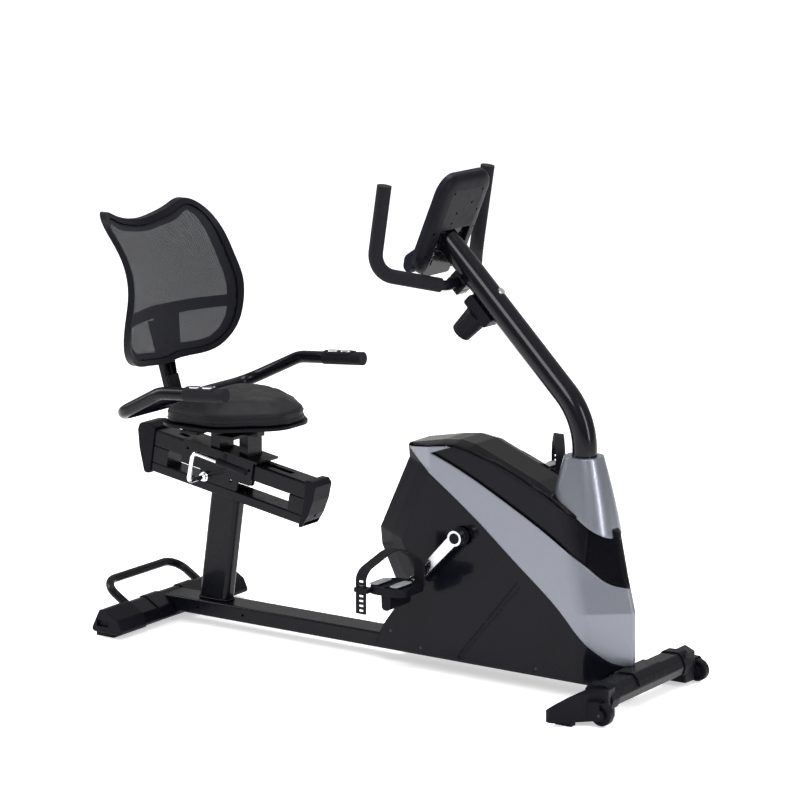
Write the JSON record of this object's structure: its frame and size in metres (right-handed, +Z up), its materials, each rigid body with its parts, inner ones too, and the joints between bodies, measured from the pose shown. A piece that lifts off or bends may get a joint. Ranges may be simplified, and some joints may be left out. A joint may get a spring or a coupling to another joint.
{
  "type": "recumbent exercise bike",
  "caption": "Recumbent exercise bike: beam frame on stabilizers, sliding seat with mesh backrest, covered belt drive with flywheel, tilted mast with console and handlebar.",
  "frame": {"origin": "on the floor, under the middle of the bike's length and width", "axes": "+X from the seat towards the console along the length, +Y to the rider's left, +Z up"},
  "size_m": [1.573, 0.621, 1.2313],
  "materials": {
    "frame_paint": "satin black powder coat",
    "mast_paint": "gloss black powder coat",
    "housing_plastic": "satin charcoal moulded plastic",
    "gloss_black": "polished black moulded plastic",
    "silver_trim": "metallic silver paint on moulded plastic",
    "black_plastic": "fine-grained black moulded plastic",
    "console_plastic": "satin charcoal moulded plastic",
    "screen": "dark display window",
    "key_plastic": "grey keys",
    "knob_plastic": "soft-touch black plastic",
    "rubber": "black moulded rubber",
    "foam": "closed-cell black foam with a fine skin",
    "vinyl": "black grained vinyl cover over foam",
    "mesh": "dark grey woven mesh",
    "chrome": "bright chrome plate",
    "crank_alloy": "bright finished aluminium alloy",
    "steel": "zinc-plated steel",
    "flywheel_iron": "turned rim, painted web",
    "pulley_plastic": "glass-filled black plastic",
    "wheel_plastic": "black plastic wheel"
  },
  "bodies": {
    "frame": {"console_back": "black_plastic", "console_bracket": "mast_paint", "console_face": "console_plastic", "console_lens": "screen", "drive_belt": "rubber", "drive_frame": "frame_paint", "foot_pads": "rubber", "frame_fasteners": "steel", "front_cover": "gloss_black", "front_end_caps": "black_plastic", "front_stabilizer": "frame_paint", "handlebar": "frame_paint", "handlebar_clamp": "gloss_black", "handlebar_grips": "foam", "knob_base": "black_plastic", "main_beam": "frame_paint", "mast": "mast_paint", "mast_shroud": "silver_trim", "rail_end_caps": "black_plastic", "rail_lower_tube": "frame_paint", "rail_upper_tube": "frame_paint", "rear_end_caps": "black_plastic", "rear_handle": "frame_paint", "rear_stabilizer": "frame_paint", "seat_post": "frame_paint", "side_cover_left": "housing_plastic", "side_cover_right": "housing_plastic", "silver_bands": "silver_trim", "top_cover": "gloss_black", "upper_panels": "housing_plastic"},
    "crank": {"crank_axle": "steel", "drive_pulley": "pulley_plastic", "crank_arm_left": "crank_alloy", "crank_arm_right": "crank_alloy", "crank_caps": "black_plastic"},
    "flywheel_body": {"flywheel": "flywheel_iron"},
    "pedal_right_body": {"pedal_right": "black_plastic", "pedal_strap_right": "rubber"},
    "pedal_left_body": {"pedal_left": "black_plastic", "pedal_strap_left": "rubber"},
    "wheel_right_body": {"wheel_right": "wheel_plastic"},
    "wheel_left_body": {"wheel_left": "wheel_plastic"},
    "seat": {"seat_carriage": "frame_paint", "seat_frame": "frame_paint", "seat_pan": "black_plastic", "seat_cushion": "vinyl", "armrest_bar": "frame_paint", "armrest_grips": "foam", "pulse_plates": "chrome", "backrest_post": "frame_paint", "backrest_frame": "frame_paint", "backrest_ring": "black_plastic", "backrest_mesh": "mesh"},
    "lever": {"lock_lever": "chrome", "lever_grip": "rubber"},
    "knob": {"tension_knob": "knob_plastic"},
    "magnets": {"magnet_bracket": "steel"},
    "key_1": {"button_1": "key_plastic"},
    "key_2": {"button_2": "key_plastic"},
    "key_3": {"button_3": "key_plastic"}
  },
  "joints": [
    {"name": "crank_spin", "type": "hinge", "parent": "frame", "child": "crank", "pos_m": [0.2805, 0, 0.361], "axis": [0, 1, 0], "continuous": true},
    {"name": "flywheel_spin", "type": "hinge", "parent": "frame", "child": "flywheel_body", "pos_m": [0.4715, 0, 0.218], "axis": [0, 1, 0], "continuous": true},
    {"name": "pedal_right_spin", "type": "hinge", "parent": "crank", "child": "pedal_right_body", "pos_m": [0.16305, -0.19, 0.2381], "axis": [0, 1, 0], "continuous": true},
    {"name": "pedal_left_spin", "type": "hinge", "parent": "crank", "child": "pedal_left_body", "pos_m": [0.39795, 0.19, 0.4839], "axis": [0, 1, 0], "continuous": true},
    {"name": "wheel_right_spin", "type": "hinge", "parent": "frame", "child": "wheel_right_body", "pos_m": [0.7595, -0.226, 0.0315], "axis": [0, 1, 0], "continuous": true},
    {"name": "wheel_left_spin", "type": "hinge", "parent": "frame", "child": "wheel_left_body", "pos_m": [0.7595, 0.226, 0.0315], "axis": [0, 1, 0], "continuous": true},
    {"name": "seat_slide", "type": "slide", "parent": "frame", "child": "seat", "axis": [0.986, 0, -0.1668], "range_m": [-0.07, 0.13]},
    {"name": "seat_lock_lever", "type": "hinge", "parent": "seat", "child": "lever", "pos_m": [-0.5245, -0.11, 0.398], "axis": [0, 1, 0], "range_deg": [-25, 0]},
    {"name": "tension_knob", "type": "hinge", "parent": "frame", "child": "knob", "pos_m": [0.31152, 0, 0.92797], "axis": [-0.7098, 0, -0.7044], "range_deg": [0, 270]},
    {"name": "magnet_bracket", "type": "hinge", "parent": "frame", "child": "magnets", "pos_m": [0.4435, -0.056, 0.354], "axis": [0, -1, 0], "range_deg": [0, 7]},
    {"name": "button_1", "type": "slide", "parent": "frame", "child": "key_1", "axis": [0.9249, 0, -0.3802], "range_m": [0, 0.0012], "stiffness_N_per_m": 400},
    {"name": "button_2", "type": "slide", "parent": "frame", "child": "key_2", "axis": [0.9249, 0, -0.3802], "range_m": [0, 0.0012], "stiffness_N_per_m": 400},
    {"name": "button_3", "type": "slide", "parent": "frame", "child": "key_3", "axis": [0.9249, 0, -0.3802], "range_m": [0, 0.0012], "stiffness_N_per_m": 400}
  ],
  "couplings": [
    {"joint": "flywheel_spin", "follows": "crank_spin", "ratio": 5.3636},
    {"joint": "magnet_bracket", "follows": "tension_knob", "ratio": 0.025926}
  ]
}
